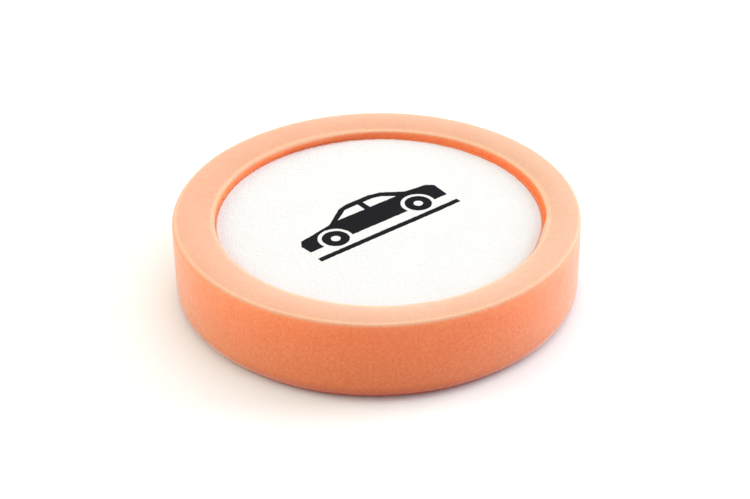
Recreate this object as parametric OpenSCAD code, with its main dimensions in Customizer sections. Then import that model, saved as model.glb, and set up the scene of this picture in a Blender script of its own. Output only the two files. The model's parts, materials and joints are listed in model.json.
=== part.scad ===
// Foam polishing pad for a rotary or dual-action car polisher.
//
// A disc of open-cell polyurethane foam stands on its working face. Its back
// has a shallow round recess inside a soft crowned collar. A disc of white loop
// fabric is glued into the recess and grips the hooks of the machine's backing
// plate, while the collar centres the plate and covers its hard edge.
//
// The origin is the middle of the working face and +Z runs along the pad's
// axis, towards the machine. Every length is in millimetres.

/* [Foam body] */
// Outside diameter of the pad
pad_d = 150; // [148:1:156]
// Thickness from the working face to the crest of the collar
pad_t = 32; // [28:0.5:40]
// Rounding of the outer edge at the collar
top_edge_r = 1.8; // [0.8:0.1:2.5]
// Rounding of the outer edge at the working face
bottom_edge_r = 5.5; // [1:0.5:8]

/* [Collar and recess] */
// Diameter of the recess that takes the backing plate
recess_d = 122; // [118:0.5:124]
// Depth of the recess, from the collar's inner edge down to the loop fabric
recess_depth = 2.8; // [2:0.1:5]
// How far the collar's crest lies in from the pad's outer edge
crest_in = 5; // [3:0.5:6]
// How far the collar's inner edge lies below its crest
collar_fall = 1.5; // [0.6:0.1:2]
// Rounding of the collar's inner edge
inner_edge_r = 0.5; // [0.3:0.1:0.7]

/* [Loop fabric] */
// Gap all round between the loop fabric and the wall of the recess
fabric_gap = 0.8; // [0.6:0.05:1.5]
// Height of the raised loop pile
pile_t = 1.2; // [0.8:0.1:2]
// Thickness of the knitted ground cloth under the pile
ground_t = 0.5; // [0.3:0.1:1]
// Thickness of the hot-melt adhesive film under the ground cloth
film_t = 0.2; // [0.1:0.05:0.4]

/* [Printed mark] */
// Length of the printed car pictogram
mark_l = 65; // [40:1:80]
// Turn of the pictogram about the pad's axis, in degrees
mark_turn = 38; // [-180:1:180]
// How deep the ink soaks into the pile
ink_t = 0.4; // [0.2:0.1:0.6]

/* [Hidden] */

$fn = 96;

// Clearance that keeps the fabric disc's edge off the foam it is pressed into
seat_gap = 0.05;
// Overshoot of a cutting shape past the face that it cuts
past = 1;

pad_r = pad_d / 2;
recess_r = recess_d / 2;
fabric_r = recess_r - fabric_gap;
seat_r = fabric_r + seat_gap;

// Levels above the working face
fabric_z = pad_t - collar_fall - recess_depth;
pile_z = fabric_z - pile_t;
ground_z = pile_z - ground_t;
floor_z = ground_z - film_t;

// The collar's crown is an arc that is level at its crest and falls both ways,
// by collar_fall at the recess
crest_r = pad_r - crest_in;
crown_w = crest_r - recess_r;
crown_r = (crown_w * crown_w + collar_fall * collar_fall) / (2 * collar_fall);
crown_z = pad_t - crown_r;

// Centre of an edge rounding of radius r that touches the crown from inside at x
function edge_z(x, r) = crown_z + sqrt(pow(crown_r - r, 2) - pow(x - crest_r, 2));
// Lean of the line from the crown's centre to that rounding's centre
function edge_lean(x, r) = atan2(abs(x - crest_r), edge_z(x, r) - crown_z);

// The pictogram is drawn 62 long and scaled to mark_l
mark_drawn_l = 62;
// Point of the drawing that lies on the pad's axis
mark_mid = [1, 5.5];
wheel_x = 18.5;
wheel_r = 4.9;
hub_r = 1.7;
arch_r = 6.3;
road_t = 2.3;
road_gap = 1.4;

// Half section of the foam, to the right of the pad's axis
module foam_section() {
    difference() {
        square([pad_r, pad_t]);
        // Space above the crown
        difference() {
            translate([recess_r - past, pad_t - collar_fall])
                square([pad_r - recess_r + 2 * past, collar_fall + past]);
            translate([crest_r, crown_z]) circle(r = crown_r);
        }
        // Recess, and the seat that the fabric disc is pressed into
        translate([-past, fabric_z]) square([recess_r + past, pad_t]);
        translate([-past, floor_z]) square([seat_r + past, pad_t]);
        // Collar's inner and outer edges
        crown_edge_cut(recess_r + inner_edge_r, inner_edge_r, -1);
        crown_edge_cut(pad_r - top_edge_r, top_edge_r, 1);
        // Outer edge at the working face
        working_edge_cut(bottom_edge_r);
    }
}

// What rounds off the edge between the crown and a wall. side is 1 for the
// outer wall and -1 for the recess wall.
module crown_edge_cut(x, r, side) {
    reach = 3 * r;
    lean = edge_lean(x, r);
    translate([x, edge_z(x, r)]) {
        difference() {
            polygon([
                [0, 0],
                [side * reach * sin(lean), reach * cos(lean)],
                [side * reach, reach],
                [side * reach, 0]
            ]);
            circle(r = r);
        }
    }
}

// What rounds off the outer wall's lower edge
module working_edge_cut(r) {
    translate([pad_r - r, r]) {
        difference() {
            translate([0, -r - past]) square(r + past);
            circle(r = r);
        }
    }
}

// Side view of a plain saloon car on its road line, wheels' contact line at y = 0
module car_outline() {
    difference() {
        polygon([
            [-30.5, 3.2], [-31, 8], [-29, 10.8], [-15, 13.2], [-6, 19.6], [-2, 20.6],
            [8, 20.6], [12.5, 19.4], [20, 14.2], [28.5, 13.2], [31, 11], [30.5, 3.2]
        ]);
        for (x = [-wheel_x, wheel_x]) {
            translate([x, wheel_r]) circle(r = arch_r);
        }
        // Front and rear side windows
        polygon([[-10.8, 13.8], [-4.6, 17.8], [1.2, 18], [1.2, 13.8]]);
        polygon([[3.6, 13.8], [3.6, 18], [8, 18], [11, 17.2], [15.4, 13.8]]);
    }
    for (x = [-wheel_x, wheel_x]) {
        translate([x, wheel_r]) {
            difference() {
                circle(r = wheel_r);
                circle(r = hub_r);
            }
        }
    }
    translate([-mark_drawn_l / 2, -road_gap - road_t]) square([mark_drawn_l, road_t]);
}

// The pictogram's inked depth, at its place in the pile
module inked_shape(depth) {
    translate([0, 0, fabric_z - ink_t])
        rotate([0, 0, mark_turn])
            linear_extrude(height = depth)
                scale(mark_l / mark_drawn_l)
                    translate(-mark_mid) car_outline();
}

// One piece of open-cell polyurethane foam, with its collar and recess
module foam_body() {
    color([0.93, 0.55, 0.39])
        rotate_extrude() foam_section();
}

// Hot-melt film that bonds the fabric to the foam
module adhesive_film() {
    color([0.93, 0.86, 0.62])
        translate([0, 0, floor_z]) cylinder(r = fabric_r, h = film_t);
}

// Knitted ground cloth that carries the loops
module loop_ground() {
    color([0.94, 0.93, 0.91])
        translate([0, 0, ground_z]) cylinder(r = fabric_r, h = ground_t);
}

// Raised loop pile, white except where the ink has soaked in
module loop_pile() {
    color([0.99, 0.98, 0.97])
        difference() {
            translate([0, 0, pile_z]) cylinder(r = fabric_r, h = pile_t);
            inked_shape(ink_t + past);
        }
}

// The inked part of the pile, flush with the rest of it
module printed_mark() {
    color([0.1, 0.1, 0.12]) inked_shape(ink_t);
}

foam_body();
adhesive_film();
loop_ground();
loop_pile();
printed_mark();
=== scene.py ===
"""A foam polishing pad with a recessed loop-fabric back, standing on its working face.

Every length is in metres, in the CAD model's own frame: the pad's axis is Z, and the
working face is at z = 0.
"""

import json
import math

import bpy
import numpy as np
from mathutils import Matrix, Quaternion, Vector
from mathutils.geometry import delaunay_2d_cdt


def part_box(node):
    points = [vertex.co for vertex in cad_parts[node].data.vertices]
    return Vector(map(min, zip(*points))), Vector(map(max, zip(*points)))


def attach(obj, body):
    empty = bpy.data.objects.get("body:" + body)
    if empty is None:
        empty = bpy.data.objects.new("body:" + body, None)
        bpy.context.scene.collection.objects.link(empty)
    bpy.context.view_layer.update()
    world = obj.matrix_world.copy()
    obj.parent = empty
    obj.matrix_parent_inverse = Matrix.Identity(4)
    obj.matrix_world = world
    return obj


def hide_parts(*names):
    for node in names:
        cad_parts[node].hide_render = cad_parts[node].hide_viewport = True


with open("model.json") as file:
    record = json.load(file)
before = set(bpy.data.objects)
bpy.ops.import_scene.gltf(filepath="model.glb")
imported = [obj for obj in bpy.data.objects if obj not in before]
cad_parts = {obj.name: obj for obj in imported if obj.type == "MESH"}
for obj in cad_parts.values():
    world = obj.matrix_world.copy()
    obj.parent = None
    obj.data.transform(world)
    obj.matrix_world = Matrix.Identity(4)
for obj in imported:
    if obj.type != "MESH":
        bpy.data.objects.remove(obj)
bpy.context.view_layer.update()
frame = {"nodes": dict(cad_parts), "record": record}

MM = 0.001

# ---------------------------------------------------------------- sizes from the frame

foam_low, foam_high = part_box("foam_body")
pile_low, pile_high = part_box("loop_pile")
ground_low, ground_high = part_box("loop_ground")
film_low, film_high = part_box("adhesive_film")
mark_low, mark_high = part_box("printed_mark")
mounts = {m["name"]: m for m in frame["record"]["mounts"]}

PAD_R = (foam_high.x - foam_low.x) / 2
PAD_T = foam_high.z
RECESS_R = mounts["backing_recess"]["dims"]["r_mm"] * MM
FABRIC_R = (pile_high.x - pile_low.x) / 2
FABRIC_Z = pile_high.z
FLOOR_Z = film_low.z
INK_T = mark_high.z - mark_low.z
INK_GAP = 0.01 * MM         # air between the ink and the pocket that it fills
INK_CREEP = 0.06 * MM       # how far the ink crept along the pile

# The foam's edges, as the CAD model has them
TOP_EDGE_R = 1.8 * MM
BOTTOM_EDGE_R = 5.5 * MM
CREST_IN = 5.0 * MM         # from the outside to the collar's crest
COLLAR_FALL = 1.5 * MM      # from the crest down to the lip of the recess
INNER_EDGE_R = 0.5 * MM
SEAT_R = FABRIC_R + 0.05 * MM
PRESSED_BASE = 3.0 * MM     # how far up the foam is compressed where it stands

# How far the pressed recess, the hand-laid fabric and the collar's paler colour, which is
# painted top light, sit off the foam's axis, along X
RECESS_SHIFT = 1.5 * MM
FABRIC_SHIFT = 0.85 * MM
LIT_TOP_SHIFT = 0.35 * MM

# How much less the recess reaches along Y than along X
RECESS_SQUEEZE = 0.5 * MM

# Where the pressed lip leans in over the fabric: angle and spread in degrees, and how far
LIP_Z = PAD_T - COLLAR_FALL - 0.3 * MM
LIP_LEANS = ((-14, 8, 0.9 * MM), (120, 24, 0.9 * MM))

# Where the collar's paler colour, painted top light, ends on the rim, how much further it
# wraps down at both ends of the X axis as painted light from the side lamps, and the
# direction in which the collar's painted shade is strongest
LIT_TOP_R = PAD_R - 0.65 * MM
LIT_TOP_Z = PAD_T - 0.6 * MM
LIT_TOP_WRAP = 0.8 * MM
SHADED_TOP_SIDE = (math.cos(math.radians(160)), math.sin(math.radians(160)))

# ---------------------------------------------------------------- mesh detail

FOAM_STEP = 0.60 * MM       # length of a foam facet along the section
FOAM_TURNS = 760            # facets round the foam
WORKING_STEP = 1.25 * MM    # facet size on the working face
HIDDEN_STEP = 4.0 * MM      # facet size where nothing shows
PILE_STEP = 0.40 * MM       # facet size on the loop fabric
CLOTH_STEP = 0.80 * MM      # facet size on the ground cloth and the adhesive

# Relief of the surfaces: height, distance between bumps, and seed
FOAM_WAVES = (0.14 * MM, 24 * MM, 11)
FOAM_CLUMPS = (0.04 * MM, 2.6 * MM, 12)
FOAM_CELLS = (-0.09 * MM, 1.3 * MM, 21)
RAGGED_WALL = (0.16 * MM, 2.4 * MM, 14)
PILE_TUFTS = (0.05 * MM, 1.1 * MM, 31)
PILE_LOOPS = (0.05 * MM, 0.6 * MM, 32)
PILE_WAVES = (0.10 * MM, 18 * MM, 33)

# ---------------------------------------------------------------- repeatable noise

def lattice(ix, iy, iz, seed):
    """A repeatable number from 0 to 1 for each point of an integer lattice."""
    h = (ix * 73856093) ^ (iy * 19349663) ^ (iz * 83492791) ^ (seed * 2654435761)
    h = h & 0xFFFFFFFF
    for _ in range(2):
        h = ((h >> 16) ^ h) * 0x45D9F3B & 0xFFFFFFFF
    return ((h >> 16) ^ h) / 4294967296.0


def soft_noise(points, size, seed):
    """Smooth noise from -1 to 1, with bumps about size apart."""
    p = points / size
    base = np.floor(p).astype(np.int64)
    t = p - base
    t = t * t * (3 - 2 * t)
    total = np.zeros(len(p))
    for dx in (0, 1):
        for dy in (0, 1):
            for dz in (0, 1):
                weight = (
                    (t[:, 0] if dx else 1 - t[:, 0])
                    * (t[:, 1] if dy else 1 - t[:, 1])
                    * (t[:, 2] if dz else 1 - t[:, 2])
                )
                total += weight * lattice(base[:, 0] + dx, base[:, 1] + dy, base[:, 2] + dz, seed)
    return 2 * total - 1


def bumps(points, kind):
    """Smooth relief of one of the kinds named above."""
    height, size, seed = kind
    return height * soft_noise(points, size, seed)


def cell_noise(points, size, seed):
    """How far each point is inside its foam cell: 0 on the walls, about 1 in the middle."""
    p = points / size
    base = np.floor(p).astype(np.int64)
    first = np.full(len(p), 9.0)
    second = np.full(len(p), 9.0)
    for dx in (-1, 0, 1):
        for dy in (-1, 0, 1):
            for dz in (-1, 0, 1):
                cell = base + np.array([dx, dy, dz])
                seat = np.stack(
                    [lattice(cell[:, 0], cell[:, 1], cell[:, 2], seed + k) for k in range(3)], 1
                )
                away = np.linalg.norm(cell + seat - p, axis=1)
                second = np.minimum(second, np.maximum(first, away))
                first = np.minimum(first, away)
    return np.clip((second - first) * 1.6, 0, 1)


# ---------------------------------------------------------------- mesh helpers

def mesh_object(name, points, faces):
    mesh = bpy.data.meshes.new(name)
    mesh.from_pydata([tuple(p) for p in points], [], faces)
    mesh.validate()
    mesh.update()
    mesh.polygons.foreach_set("use_smooth", [True] * len(mesh.polygons))
    obj = bpy.data.objects.new(name, mesh)
    bpy.context.scene.collection.objects.link(obj)
    return obj


def point_value(obj, name, values):
    """Stores one number a vertex, for the material to read."""
    layer = obj.data.attributes.new(name, "FLOAT", "POINT")
    layer.data.foreach_set("value", np.asarray(values, np.float32))


def arc(centre, radius, start, end, step):
    """Points along an arc in the section plane, from start to end in degrees."""
    length = abs(math.radians(end - start)) * radius
    count = max(2, round(length / step))
    turn = np.radians(np.linspace(start, end, count + 1))
    return np.stack([centre[0] + radius * np.cos(turn), centre[1] + radius * np.sin(turn)], 1)


def line(start, end, step):
    """Points along a straight stretch of the section."""
    count = max(1, round(math.dist(start, end) / step))
    return np.linspace(start, end, count + 1)


def joined(*stretches):
    """One run of points from stretches that meet end to end."""
    parts = [stretches[0]] + [s[1:] for s in stretches[1:]]
    return np.concatenate(parts)


def revolve(section, turns):
    """Points and faces of a section turned about Z. Faces point left of its direction."""
    angle = np.linspace(0, 2 * np.pi, turns, endpoint=False)
    points = np.empty((len(section), turns, 3))
    points[..., 0] = section[:, :1] * np.cos(angle)
    points[..., 1] = section[:, :1] * np.sin(angle)
    points[..., 2] = section[:, 1:]
    ring = np.arange(turns)
    after = (ring + 1) % turns
    low = (np.arange(len(section) - 1) * turns)[:, None]
    quads = np.stack([low + ring, low + after, low + turns + after, low + turns + ring], -1)
    return points.reshape(-1, 3), quads.reshape(-1, 4).tolist()


def hex_points(radius, step):
    """Points of a triangular lattice that lie inside a circle."""
    rows = int(radius / (step * math.sqrt(0.75))) + 1
    found = []
    for j in range(-rows, rows + 1):
        y = j * step * math.sqrt(0.75)
        half = math.sqrt(max(radius * radius - y * y, 0))
        columns = int(half / step) + 1
        x = (np.arange(-columns, columns + 1) + (j % 2) / 2) * step
        x = x[np.abs(x) < half]
        found.append(np.stack([x, np.full(len(x), y)], 1))
    return np.concatenate(found)


def fill_disc(rim, step):
    """Triangles over a disc whose rim points are given. Inner points follow the rim's."""
    radius = np.linalg.norm(rim[:, :2], axis=1).min()
    inner = hex_points(radius - 0.6 * step, step)
    flat = [Vector(p) for p in np.concatenate([rim[:, :2], inner])]
    out = delaunay_2d_cdt(flat, [], [list(range(len(rim)))], 1, 1e-9, False)
    return inner, [list(f) for f in out[2]]


def normals_2d(section):
    """Normals of a section, to the left of its direction."""
    along = np.gradient(section, axis=0)
    along /= np.linalg.norm(along, axis=1)[:, None]
    return np.stack([-along[:, 1], along[:, 0]], 1)


# ---------------------------------------------------------------- foam body

def foam_section():
    """Half section of the foam from the recess floor over the collar to the working face."""
    crest_r = PAD_R - CREST_IN
    crown_w = crest_r - RECESS_R
    crown_r = (crown_w**2 + COLLAR_FALL**2) / (2 * COLLAR_FALL)
    crown_z = PAD_T - crown_r

    def edge(x, r):
        """Centre of a rounding that touches the crown from inside, and its lean."""
        z = crown_z + math.sqrt((crown_r - r) ** 2 - (x - crest_r) ** 2)
        return (x, z), math.degrees(math.atan2(abs(x - crest_r), z - crown_z))

    inner, inner_lean = edge(RECESS_R + INNER_EDGE_R, INNER_EDGE_R)
    outer, outer_lean = edge(PAD_R - TOP_EDGE_R, TOP_EDGE_R)
    return joined(
        line((SEAT_R, FLOOR_Z), (SEAT_R, FABRIC_Z), FOAM_STEP),
        line((SEAT_R, FABRIC_Z), (RECESS_R, FABRIC_Z), 0.5 * FOAM_STEP),
        line((RECESS_R, FABRIC_Z), (RECESS_R, inner[1]), 0.6 * FOAM_STEP),
        arc(inner, INNER_EDGE_R, 180, 90 + inner_lean, 0.4 * FOAM_STEP),
        arc((crest_r, crown_z), crown_r, 90 + inner_lean, 90 - outer_lean, FOAM_STEP),
        arc(outer, TOP_EDGE_R, 90 - outer_lean, 0, 0.5 * FOAM_STEP),
        line((PAD_R, outer[1]), (PAD_R, BOTTOM_EDGE_R), FOAM_STEP),
        arc((PAD_R - BOTTOM_EDGE_R, BOTTOM_EDGE_R), BOTTOM_EDGE_R, 0, -90, FOAM_STEP),
    )


def foam_relief(points):
    """Height of the foam's surface: slow waves, clumps of cells, and open cells."""
    depth, size, seed = FOAM_CELLS
    patchy = 0.65 + 0.35 * soft_noise(points, 5 * MM, 13)
    cells = depth * cell_noise(points, size, seed) * patchy
    return bumps(points, FOAM_WAVES) + bumps(points, FOAM_CLUMPS) + cells


def smooth_step(low, high, value):
    """0 where value is at low or before it, 1 at high or past it, and smooth between."""
    t = np.clip((value - low) / (high - low), 0, 1)
    return t * t * (3 - 2 * t)


def foam_looks(points, facing_up):
    """How strongly each look of the foam shows at each point, from 0 to 1.

    The points lie on the plain section, without relief, and facing_up is the upward part
    of its normal.
    """
    squeeze = RECESS_R / (RECESS_R - RECESS_SQUEEZE)
    from_lip = np.hypot(points[:, 0] - RECESS_SHIFT, points[:, 1] * squeeze) - RECESS_R
    height = points[:, 2]
    outer = from_lip > 2 * INNER_EDGE_R

    # Painted top light: the collar is paler from the lip to a line that runs round the rim,
    # and inside the lip wherever the surface faces up
    from_rim = np.hypot(points[:, 0] - LIT_TOP_SHIFT, points[:, 1]) - LIT_TOP_R
    from_rim += np.maximum(LIT_TOP_Z - height, 0) * outer - LIT_TOP_WRAP * (points[:, 0] / PAD_R) ** 2
    collar = np.where(outer, 1.0, smooth_step(0.20, 0.80, facing_up) * (height > FABRIC_Z + MM))
    collar *= 1 - smooth_step(-0.5 * MM, 0.9 * MM, from_rim)
    wall = (1 - collar) * (from_lip < 2 * INNER_EDGE_R) * (height > FLOOR_Z)
    side = outer * (1 - collar)

    # Painted highlight: two narrow paler bands on the collar, beside the lip and beside the rim
    lip = np.exp(-(((from_lip - 0.9 * MM) / (0.7 * MM)) ** 2)) * collar
    rim = np.exp(-(((from_rim + 1.0 * MM) / (0.5 * MM)) ** 2)) * collar
    toward = (points[:, 0] * SHADED_TOP_SIDE[0] + points[:, 1] * SHADED_TOP_SIDE[1]) / PAD_R
    return {
        "collar": collar,
        # Painted shade: the collar less pale towards its left back
        "painted_top_shade": collar * np.clip(0.5 + 0.5 * toward, 0, 1),
        "recess_wall": wall,
        "painted_edge_highlight": 0.7 * np.maximum(lip, rim),
        # Painted light: a paler band on the side under the rim, and on the wall under the lip
        "painted_rim_light": side * np.exp(-np.maximum(from_rim, 0) / (1.6 * MM))
        + wall * np.exp(-np.abs(LIP_Z - height) / (0.5 * MM)),
        # Painted shade: the side darker towards the bottom
        "painted_low_shade": side * np.clip(1 - (height - 4 * MM) / (PAD_T - 8 * MM), 0, 1),
        # Painted shade: the side darkest where it turns under toward the floor
        "painted_contact_shade": side * smooth_step(7 * MM, 1 * MM, height),
    }


def foam_surface_relief(points, radius, height):
    """Relief of the foam's turned surface. The seat under the fabric keeps its exact shape."""
    shown = smooth_step(SEAT_R, RECESS_R, radius) * (height > FLOOR_Z) + (radius > PAD_R - 2 * CREST_IN)
    relief = foam_relief(points) * np.clip(shown, 0, 1)

    # The pressed wall is more ragged, and most of all at its foot
    ragged = smooth_step(FABRIC_Z + 3.2 * MM, FABRIC_Z, height) * (radius < RECESS_R + MM)
    ragged *= radius > RECESS_R - 0.2 * MM
    return relief + ragged * (bumps(points, RAGGED_WALL) + 0.05 * MM)


def press_recess(shapes, radius, height, angle):
    """Moves the recess a little off the axis and leans its lip in. The collar takes it up."""
    upper = height > PAD_T - 2 * TOP_EDGE_R - COLLAR_FALL
    places = [0, SEAT_R, RECESS_R, PAD_R]
    shift = np.interp(radius, places, [FABRIC_SHIFT, FABRIC_SHIFT, RECESS_SHIFT, 0])
    narrow = np.interp(radius, places, [0, 0, RECESS_SQUEEZE / RECESS_R, 0])
    moved = upper | (radius < RECESS_R + MM) & (height > FLOOR_Z - MM)
    lean = np.interp(radius, places, [0, 0, 1, 0])
    lean *= upper * np.clip((height - FABRIC_Z) / (LIP_Z - FABRIC_Z), 0, 1)
    inwards = np.zeros(len(radius))
    for place, spread, depth in LIP_LEANS:
        away = (np.degrees(angle) - place + 180) % 360 - 180
        inwards += depth * np.exp(-((away / spread) ** 2))
    for shape in shapes:
        shape[:, 0] += shift * moved - inwards * lean * np.cos(angle)
        shape[:, 1] = shape[:, 1] * (1 - narrow * moved) - inwards * lean * np.sin(angle)


def foam_cap(ring, ring_start, inner_start, step):
    """Inner points of the disc that closes a ring of the foam, and the disc's faces.

    In the whole mesh, the ring's points are numbered from ring_start and the inner ones
    from inner_start.
    """
    inner, caps = fill_disc(ring, step)
    numbers = np.concatenate([ring_start + np.arange(len(ring)), inner_start + np.arange(len(inner))])
    return inner, [numbers[f].tolist() for f in caps]


def foam_body():
    """The foam pad, and the material slot of each face: 0 on free foam, 1 on pressed foam."""
    section = foam_section()
    points, faces = revolve(section, FOAM_TURNS)
    normal = np.repeat(normals_2d(section), FOAM_TURNS, axis=0)
    angle = np.tile(np.linspace(0, 2 * np.pi, FOAM_TURNS, endpoint=False), len(section))
    outward = np.stack([normal[:, 0] * np.cos(angle), normal[:, 0] * np.sin(angle), normal[:, 1]], 1)
    radius, height = np.repeat(section, FOAM_TURNS, axis=0).T
    plain = points.copy()
    points += outward * foam_surface_relief(points, radius, height)[:, None]
    press_recess((points, plain), radius, height, angle)

    # The working face carries on from the last ring, the recess floor from the first
    turned = len(points)
    inner, caps = foam_cap(points[-FOAM_TURNS:], turned - FOAM_TURNS, turned, WORKING_STEP)
    faces += [face[::-1] for face in caps]
    under = np.column_stack([inner, np.zeros(len(inner))])
    under[:, 2] = np.maximum(-foam_relief(under) - 0.1 * MM, 0)
    points = np.concatenate([points, under])
    inner, caps = foam_cap(plain[:FOAM_TURNS], 0, len(points), HIDDEN_STEP)
    faces += caps
    points = np.concatenate([points, np.column_stack([inner, np.full(len(inner), FLOOR_Z)])])
    points[:, 2] = np.maximum(points[:, 2], 0)
    obj = mesh_object("foam_pad", points, faces)
    looks = foam_looks(plain, normal[:, 1])
    for name, values in looks.items():
        point_value(obj, name, np.pad(values, (0, len(points) - turned)))

    # The pressed wall and the compressed base have no loose fibres to catch the light
    pressed = np.ones(len(points), bool)
    pressed[:turned] = (looks["recess_wall"] > 0.5) | (plain[:, 2] < PRESSED_BASE)
    slots = [int(pressed[face].all()) for face in faces]
    return obj, slots


# ---------------------------------------------------------------- loop fabric and ink

def pile_relief(points):
    """Height of the brushed pile: knitted rows, tufts and loose loops."""
    rows = 0.025 * MM * np.sin(points[:, 0] / (1.1 * MM) * 2 * np.pi)
    tufts = bumps(points, PILE_TUFTS)
    loops = bumps(points, PILE_LOOPS)
    return rows + tufts + loops + bumps(points, PILE_WAVES) - 0.12 * MM


def mark_outline():
    """The printed mark's outlines, each a loop of points, from the top of its CAD node."""
    mesh = frame["nodes"]["printed_mark"].data
    top = mark_high.z - 0.01 * MM
    spots, index = {}, []
    for v in mesh.vertices:
        key = (round(v.co.x, 6), round(v.co.y, 6), round(v.co.z, 6))
        index.append(spots.setdefault(key, len(spots)))
    where = {n: k for k, n in spots.items()}
    edges = set()
    for face in mesh.polygons:
        ring = [index[i] for i in face.vertices]
        if all(where[i][2] > top for i in ring):
            edges.update(zip(ring, ring[1:] + ring[:1]))
    border = {a: b for (a, b) in edges if (b, a) not in edges}
    loops = []
    while border:
        at = start = min(border)
        loop = []
        while True:
            loop.append(where[at][:2])
            at = border.pop(at)
            if at == start:
                break
        loops.append(np.array(loop))
    return loops


def bled(loop, step):
    """The same closed outline with points about step apart, a little uneven where ink crept."""
    out = []
    for a, b in zip(loop, np.roll(loop, -1, axis=0)):
        count = max(1, round(np.linalg.norm(b - a) / step))
        out.append(a + (b - a) * (np.arange(count) / count)[:, None])
    out = np.concatenate(out)
    flat = np.column_stack([out, np.zeros(len(out))])
    creep = [soft_noise(flat, 0.9 * MM, seed) for seed in (41, 42)]
    return out + INK_CREEP * np.stack(creep, 1)


def inside(points, loops):
    """Which points lie inside an odd number of the loops."""
    odd = np.zeros(len(points), bool)
    for loop in loops:
        for (x0, y0), (x1, y1) in zip(loop, np.roll(loop, -1, axis=0)):
            if y0 == y1:
                continue
            crosses = (y0 > points[:, 1]) != (y1 > points[:, 1])
            at = x0 + (points[:, 1] - y0) * (x1 - x0) / (y1 - y0)
            odd ^= crosses & (points[:, 0] < at)
    return odd


def circle_points(radius, step):
    turns = round(2 * math.pi * radius / step)
    angle = np.linspace(0, 2 * np.pi, turns, endpoint=False)
    return radius * np.stack([np.cos(angle), np.sin(angle)], 1)


def pile_top():
    """The fabric's upper surface, and which of its faces are inked."""
    loops = [bled(loop, 0.8 * PILE_STEP) for loop in mark_outline()]
    rim = circle_points(FABRIC_R, PILE_STEP)
    inner = hex_points(FABRIC_R - 0.6 * PILE_STEP, PILE_STEP)
    flat = np.concatenate([rim, inner, *loops])
    edges = []
    first = len(rim) + len(inner)
    for loop in loops:
        ring = list(range(first, first + len(loop)))
        edges += list(zip(ring, ring[1:] + ring[:1]))
        first += len(loop)
    disc = [list(range(len(rim)))]
    out = delaunay_2d_cdt([Vector(p) for p in flat], edges, disc, 1, 1e-9, False)
    points = np.array([tuple(p) for p in out[0]])
    faces = np.array([list(f) for f in out[2]])
    inked = inside(points[faces].mean(1), loops)

    # The pile rolls off at its cut edge, more in some places than in others
    level = np.column_stack([points, np.zeros(len(points))])
    from_edge = FABRIC_R - np.hypot(points[:, 0], points[:, 1])
    reach = (0.9 + 0.35 * soft_noise(level, 2.2 * MM, 34)) * MM
    roll = 1 - np.clip(from_edge / reach, 0, 1)
    height = FABRIC_Z + pile_relief(level) - 0.45 * MM * (1 - np.sqrt(1 - roll**2))
    return np.column_stack([points, height]), faces, inked


def border_of(faces):
    """The directed edges that have a face on one side only."""
    edges = {(int(f[i]), int(f[i - 2])) for f in faces for i in range(3)}
    return [(a, b) for a, b in edges if (b, a) not in edges]


class Shell:
    """Collects points and faces of one closed body."""

    def __init__(self, points):
        self.points = [points]
        self.count = len(points)
        self.faces = []

    def add(self, points):
        start = self.count
        self.points.append(points)
        self.count += len(points)
        return start

    def made(self, name):
        points = np.concatenate(self.points)
        used = np.unique(np.concatenate([np.ravel(f) for f in self.faces]))
        number = np.zeros(len(points), int)
        number[used] = np.arange(len(used))
        shifted = points[used] + np.array([FABRIC_SHIFT, 0, 0])
        return mesh_object(name, shifted, [number[list(f)].tolist() for f in self.faces])


def ink_piece(top, inked):
    """The inked depth of the pile."""
    body = Shell(top)
    lower = body.add(top - np.array([0, 0, INK_T]))
    body.faces += inked.tolist()
    body.faces += (inked[:, ::-1] + lower).tolist()
    body.faces += [(a, a + lower, b + lower, b) for a, b in sorted(border_of(inked))]
    return body.made("ink_mark")


def pile_piece(top, white, inked):
    """The raised pile, with a pocket where the ink is."""
    body = Shell(top)
    pocket = body.add(top - np.array([0, 0, INK_T + INK_GAP]))
    body.faces += white.tolist()
    body.faces += (inked + pocket).tolist()
    body.faces += [(a + pocket, b + pocket, b, a) for a, b in sorted(border_of(inked))]
    close_below(body, top, border_of(np.concatenate([white, inked])), pile_low.z)
    return body.made("loop_pile_disc")


def close_below(body, top, border, level):
    """A wall down from the outer border of a disc, and a flat underside."""
    follow = dict(border)
    ring = [min(follow)]
    while follow[ring[-1]] != ring[0]:
        ring.append(follow[ring[-1]])
    rim = top[ring].copy()
    rim[:, 2] = level
    inner, caps = fill_disc(rim, HIDDEN_STEP)
    low = body.add(np.concatenate([rim, np.column_stack([inner, np.full(len(inner), level)])]))
    turns = len(ring)
    for i in range(turns):
        j = (i + 1) % turns
        body.faces.append((ring[i], low + i, low + j, ring[j]))
    body.faces += [tuple(low + k for k in reversed(f)) for f in caps]


def disc_layer(name, low, high, relief):
    """A thin laid disc of the fabric's size, with its own relief on top."""
    rim = circle_points(FABRIC_R, CLOTH_STEP)
    inner, faces = fill_disc(rim, CLOTH_STEP)
    flat = np.concatenate([rim, inner])
    level = np.column_stack([flat, np.zeros(len(flat))])
    top = np.column_stack([flat, high + relief(level)])
    body = Shell(top)
    body.faces += [tuple(f) for f in faces]
    close_below(body, top, border_of(np.array(faces)), low)
    return body.made(name)


def knit_relief(points):
    """Ribs of the knitted ground cloth, under its own top level."""
    ribs = np.sin(points[:, 0] / (1.6 * MM) * 2 * np.pi) * np.sin(points[:, 1] / (2.2 * MM) * 2 * np.pi)
    return 0.03 * MM * (ribs - 1.2 + 0.2 * soft_noise(points, 3 * MM, 51))


def glue_relief(points):
    """Slow flow marks of the melted film, under its own top level."""
    return 0.02 * MM * (soft_noise(points, 7 * MM, 52) - 1.2)


# ---------------------------------------------------------------- materials

def new_material(name):
    mat = bpy.data.materials.new(name)
    mat.use_nodes = True
    tree = mat.node_tree
    shader = tree.nodes["Principled BSDF"]
    return mat, tree, shader


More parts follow.
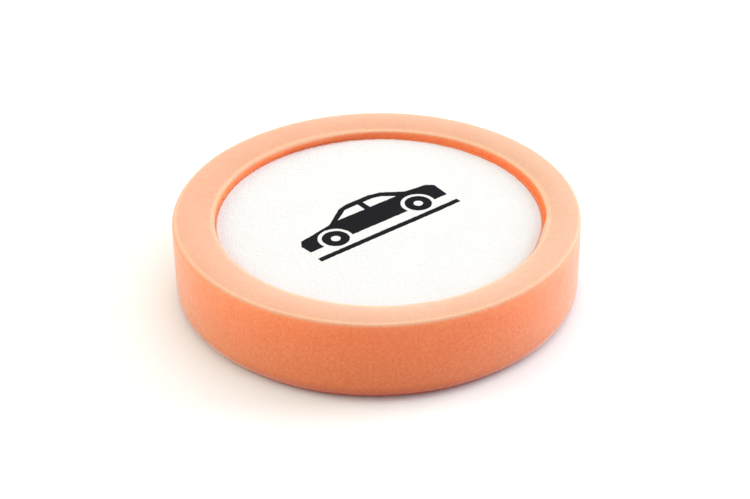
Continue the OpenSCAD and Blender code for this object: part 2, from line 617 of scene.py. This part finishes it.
def node(tree, kind, inputs=None, **settings):
    """A new node. An input's value is a number or colour, or another node's socket."""
    n = tree.nodes.new(kind)
    for key, value in settings.items():
        setattr(n, key, value)
    for key, value in (inputs or {}).items():
        if isinstance(value, bpy.types.NodeSocket):
            tree.links.new(value, n.inputs[key])
        else:
            n.inputs[key].default_value = value
    return n


def millimetres(tree):
    """The surface point in millimetres, in the pad's own frame."""
    place = node(tree, "ShaderNodeTexCoord").outputs["Object"]
    return node(
        tree, "ShaderNodeVectorMath", {0: place, 1: (1000, 1000, 1000)}, operation="MULTIPLY"
    ).outputs["Vector"]


def cell_walls(tree, place, size):
    """Distance from the walls of cells that are about size millimetres across."""
    inputs = {"Vector": place, "Scale": 1 / size}
    return node(tree, "ShaderNodeTexVoronoi", inputs, feature="DISTANCE_TO_EDGE").outputs["Distance"]


def noise(tree, place, size, **more):
    """Smooth noise with spots about size millimetres across."""
    return node(tree, "ShaderNodeTexNoise", {"Vector": place, "Scale": 1 / size, **more}).outputs["Fac"]


def ramp(tree, factor, stops):
    n = node(tree, "ShaderNodeValToRGB", {"Fac": factor})
    while len(n.color_ramp.elements) < len(stops):
        n.color_ramp.elements.new(0.5)
    for element, (place, colour) in zip(n.color_ramp.elements, stops):
        element.position = place
        element.color = (*colour, 1)
    return n.outputs["Color"]


def mixed(tree, factor, a, b, blend="MIX"):
    n = node(tree, "ShaderNodeMix", {"Factor": factor}, data_type="RGBA", blend_type=blend)
    for socket, value in ((n.inputs[6], a), (n.inputs[7], b)):
        if isinstance(value, bpy.types.NodeSocket):
            tree.links.new(value, socket)
        else:
            socket.default_value = (*value, 1)
    return n.outputs[2]


def math_node(tree, operation, a, b, clamp=False):
    return node(tree, "ShaderNodeMath", {0: a, 1: b}, operation=operation, use_clamp=clamp).outputs[0]


def weighted(tree, a, a_weight, b, b_weight):
    """The sum of two values, each times its weight."""
    first = math_node(tree, "MULTIPLY", a, a_weight)
    second = math_node(tree, "MULTIPLY", b, b_weight)
    return math_node(tree, "ADD", first, second)


def surface(tree, shader, colour, height, bump, **values):
    """Gives a shader its colour, its bump as strength and depth, and its constant values."""
    strength, depth = bump
    relief = node(tree, "ShaderNodeBump", {"Height": height, "Strength": strength, "Distance": depth})
    tree.links.new(colour, shader.inputs["Base Color"])
    tree.links.new(relief.outputs["Normal"], shader.inputs["Normal"])
    for name, value in values.items():
        shader.inputs[name.replace("_", " ")].default_value = value


# Foam colours on the sides and the working face, on the collar, and on the recess wall
FOAM_DEEP = (0.79, 0.140, 0.043)
FOAM_MID = (0.85, 0.193, 0.067)
FOAM_PALE = (0.90, 0.265, 0.107)
# Painted light on the side under the rim and on the wall under the lip
FOAM_RIM_LIGHT = (0.95, 0.420, 0.200)
# The collar's paler colours are painted top light
COLLAR_DEEP = (0.715, 0.358, 0.230)
COLLAR_PALE = (0.745, 0.420, 0.285)
# Painted highlight along the collar's lip and rim
FOAM_EDGE_HIGHLIGHT = (0.86, 0.560, 0.340)
# The recess wall's deeper, more saturated colours are painted shade and bounced light in the recess
WALL_DEEP = (0.89, 0.163, 0.055)
WALL_PALE = (0.93, 0.260, 0.100)

# What the foam's colours are multiplied by
# Painted shade, darker towards the bottom of the side
FOAM_LOW_SHADE = (0.80, 0.92, 1.0)
# Painted shade where the foam turns under toward the floor
FOAM_CONTACT_SHADE = (0.64, 0.28, 0.22)
FOAM_CLOUD = (0.97, 0.94, 0.92)
# Painted shade on the collar's left back
COLLAR_SHADE = (1.0, 0.86, 0.80)
WHITE = (1.0, 1.0, 1.0)

FREE_SHEEN = 0.85           # loose fibres of the cut foam catch the light
PRESSED_SHEEN = 0.0         # pressed foam has none


def foam_material(name, sheen):
    mat, tree, shader = new_material(name)
    place = millimetres(tree)
    grain = noise(tree, place, 1.1, Detail=4.0, Roughness=0.6)
    clouds = noise(tree, place, 26, Detail=2.0)
    struts = math_node(tree, "MULTIPLY", cell_walls(tree, place, 0.85), 2.2, clamp=True)
    fine = math_node(tree, "MULTIPLY", cell_walls(tree, place, 0.5), 2.4, clamp=True)
    pits = weighted(tree, struts, 0.6, fine, 0.4)
    darker = math_node(tree, "MULTIPLY", pits, -0.30)
    tone = math_node(tree, "ADD", darker, math_node(tree, "ADD", grain, 0.15))

    def look(name):
        return node(tree, "ShaderNodeAttribute", attribute_name=name).outputs["Fac"]

    colour = ramp(tree, tone, [(0.15, FOAM_DEEP), (0.5, FOAM_MID), (0.85, FOAM_PALE)])
    # Painted shade: the side darker towards the bottom
    colour = mixed(tree, look("painted_low_shade"), colour, FOAM_LOW_SHADE, "MULTIPLY")
    # Painted shade where the foam turns under toward the floor
    colour = mixed(tree, look("painted_contact_shade"), colour, FOAM_CONTACT_SHADE, "MULTIPLY")
    # Painted shade: the recess wall deeper and more saturated, for its shade and bounced light
    wall_colour = ramp(tree, tone, [(0.25, WALL_DEEP), (0.75, WALL_PALE)])
    colour = mixed(tree, look("recess_wall"), colour, wall_colour)
    # Painted light: a paler band under the rim and under the lip
    colour = mixed(tree, math_node(tree, "MULTIPLY", look("painted_rim_light"), 0.5), colour, FOAM_RIM_LIGHT)
    # Painted top light: the collar's paler colours
    collar_colour = ramp(tree, tone, [(0.25, COLLAR_DEEP), (0.75, COLLAR_PALE)])
    colour = mixed(tree, look("collar"), colour, collar_colour)
    # Painted shade: the collar less pale towards its left back
    colour = mixed(tree, look("painted_top_shade"), colour, COLLAR_SHADE, "MULTIPLY")
    cloudy = ramp(tree, clouds, [(0.3, FOAM_CLOUD), (0.7, WHITE)])
    colour = mixed(tree, 1.0, colour, cloudy, "MULTIPLY")
    # Painted highlight: paler bands along the collar's lip and rim
    patches = math_node(tree, "ADD", grain, 0.2)
    patchy = math_node(tree, "MULTIPLY", look("painted_edge_highlight"), patches, clamp=True)
    colour = mixed(tree, patchy, colour, FOAM_EDGE_HIGHLIGHT)
    height = math_node(tree, "SUBTRACT", math_node(tree, "MULTIPLY", grain, 0.8), pits)
    surface(
        tree, shader, colour, height, (0.45, 0.14 * MM),
        Roughness=0.9, Specular_IOR_Level=0.3,
        Subsurface_Weight=0.3, Subsurface_Radius=(1.0, 0.32, 0.12), Subsurface_Scale=1.5 * MM,
        Sheen_Weight=sheen, Sheen_Roughness=0.4, Sheen_Tint=(1.0, 0.97, 0.88, 1),
    )
    return mat


def pile_material():
    mat, tree, shader = new_material("brushed_loop_pile")
    place = millimetres(tree)
    inputs = {"Vector": place, "Scale": 1 / 0.5}
    loops = node(tree, "ShaderNodeTexVoronoi", inputs, feature="F1").outputs["Distance"]
    fuzz = noise(tree, place, 0.7, Detail=4.0, Roughness=0.7)
    tone = weighted(tree, fuzz, 0.7, noise(tree, place, 22), 0.3)
    colour = ramp(tree, tone, [(0.3, (0.700, 0.665, 0.660)), (0.7, (0.760, 0.720, 0.715))])
    height = math_node(tree, "SUBTRACT", fuzz, math_node(tree, "MULTIPLY", loops, 0.6))
    surface(
        tree, shader, colour, height, (0.35, 0.1 * MM),
        Roughness=0.9, Specular_IOR_Level=0.3, Sheen_Weight=0.4, Sheen_Roughness=0.4,
    )
    return mat


def ink_material():
    mat, tree, shader = new_material("black_fabric_ink")
    fuzz = noise(tree, millimetres(tree), 0.6, Detail=4.0, Roughness=0.7)
    colour = ramp(tree, fuzz, [(0.35, (0.006, 0.006, 0.007)), (0.75, (0.020, 0.019, 0.022))])
    surface(tree, shader, colour, fuzz, (0.5, 0.1 * MM), Roughness=0.9, Specular_IOR_Level=0.06)
    return mat


def ground_material():
    mat, tree, shader = new_material("knitted_ground")
    inputs = {"Vector": millimetres(tree), "Scale": 0.9, "Distortion": 1.5}
    rows = node(tree, "ShaderNodeTexWave", inputs, wave_type="BANDS").outputs["Fac"]
    colour = ramp(tree, rows, [(0.2, (0.70, 0.68, 0.65)), (0.8, (0.86, 0.85, 0.82))])
    surface(tree, shader, colour, rows, (0.6, 0.1 * MM), Roughness=0.9)
    return mat


def film_material():
    mat, tree, shader = new_material("hot_melt_film")
    flow = noise(tree, millimetres(tree), 6, Detail=3.0)
    colour = ramp(tree, flow, [(0.3, (0.74, 0.62, 0.36)), (0.7, (0.86, 0.78, 0.55))])
    surface(tree, shader, colour, flow, (0.3, 0.1 * MM), Roughness=0.4)
    return mat


# ---------------------------------------------------------------- the object

def finished(piece, material, replaced):
    """Gives a piece its material and body, and hides the CAD node it stands for."""
    piece.data.materials.append(material)
    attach(piece, "root")
    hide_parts(replaced)
    return piece


foam, foam_slots = foam_body()
finished(foam, foam_material("open_cell_foam", FREE_SHEEN), "foam_body")
foam.data.materials.append(foam_material("pressed_foam", PRESSED_SHEEN))
foam.data.polygons.foreach_set("material_index", foam_slots)

film = disc_layer("hot_melt_layer", film_low.z, film_high.z, glue_relief)
finished(film, film_material(), "adhesive_film")

cloth = disc_layer("ground_cloth", ground_low.z, ground_high.z, knit_relief)
finished(cloth, ground_material(), "loop_ground")

top, top_faces, inked = pile_top()
pile = pile_piece(top, top_faces[~inked], top_faces[inked])
finished(pile, pile_material(), "loop_pile")

finished(ink_piece(top, top_faces[inked]), ink_material(), "printed_mark")

# ---------------------------------------------------------------- floor, light, camera

FLOOR_REACH = 6.0
LIGHT_AIM = Vector((0, 0, 0.015))


def floor():
    corners = [(x * FLOOR_REACH, y * FLOOR_REACH, 0) for x, y in ((-1, -1), (1, -1), (1, 1), (-1, 1))]
    obj = mesh_object("studio_floor", corners, [[0, 1, 2, 3]])
    mat, _, shader = new_material("white_floor")
    shader.inputs["Base Color"].default_value = (0.95, 0.95, 0.95, 1)
    shader.inputs["Roughness"].default_value = 0.6
    shader.inputs["Specular IOR Level"].default_value = 0.2
    obj.data.materials.append(mat)


def softbox(name, place, size, power, colour=(1, 1, 1)):
    data = bpy.data.lights.new(name, "AREA")
    data.shape = "SQUARE"
    data.size = size
    data.energy = power
    data.color = colour
    obj = bpy.data.objects.new(name, data)
    obj.location = place
    obj.rotation_euler = (LIGHT_AIM - Vector(place)).to_track_quat("-Z", "Y").to_euler()
    obj.visible_camera = False
    bpy.context.scene.collection.objects.link(obj)


def studio():
    floor()
    world = bpy.data.worlds.new("studio_white")
    world.use_nodes = True
    back = world.node_tree.nodes["Background"]
    back.inputs["Color"].default_value = (1.0, 1.0, 1.0, 1)
    back.inputs["Strength"].default_value = 0.70
    bpy.context.scene.world = world
    softbox("top_light", (0.2, 0.35, 1.1), 1.1, 5)
    softbox("left_light", (-1.0, 0.0, 0.45), 0.7, 6, (0.93, 1.04, 0.78))
    softbox("right_light", (1.0, 0.25, 0.42), 0.7, 9.5, (0.84, 1.0, 1.09))


# The camera stands in front of the pad and above it
CAMERA_DISTANCE = 715.5 * MM
CAMERA_ELEVATION = 33.71
CAMERA_ROLL = -0.79
CAMERA_LENS = 91.15
AIM = (-0.70 * MM, 0.0, 0.443 * PAD_T)


def camera():
    data = bpy.data.cameras.new("camera")
    data.lens = CAMERA_LENS
    data.sensor_width = 36
    data.clip_start = 0.01
    data.clip_end = 100
    obj = bpy.data.objects.new("camera", data)
    up = math.radians(CAMERA_ELEVATION)
    obj.location = (0, -CAMERA_DISTANCE * math.cos(up), CAMERA_DISTANCE * math.sin(up))
    look = (Vector(AIM) - obj.location).to_track_quat("-Z", "Y")
    roll = Quaternion((0, 0, 1), math.radians(CAMERA_ROLL))
    obj.rotation_mode = "QUATERNION"
    obj.rotation_quaternion = look @ roll
    bpy.context.scene.collection.objects.link(obj)
    bpy.context.scene.camera = obj


studio()
camera()
bpy.context.scene.view_settings.view_transform = "Standard"
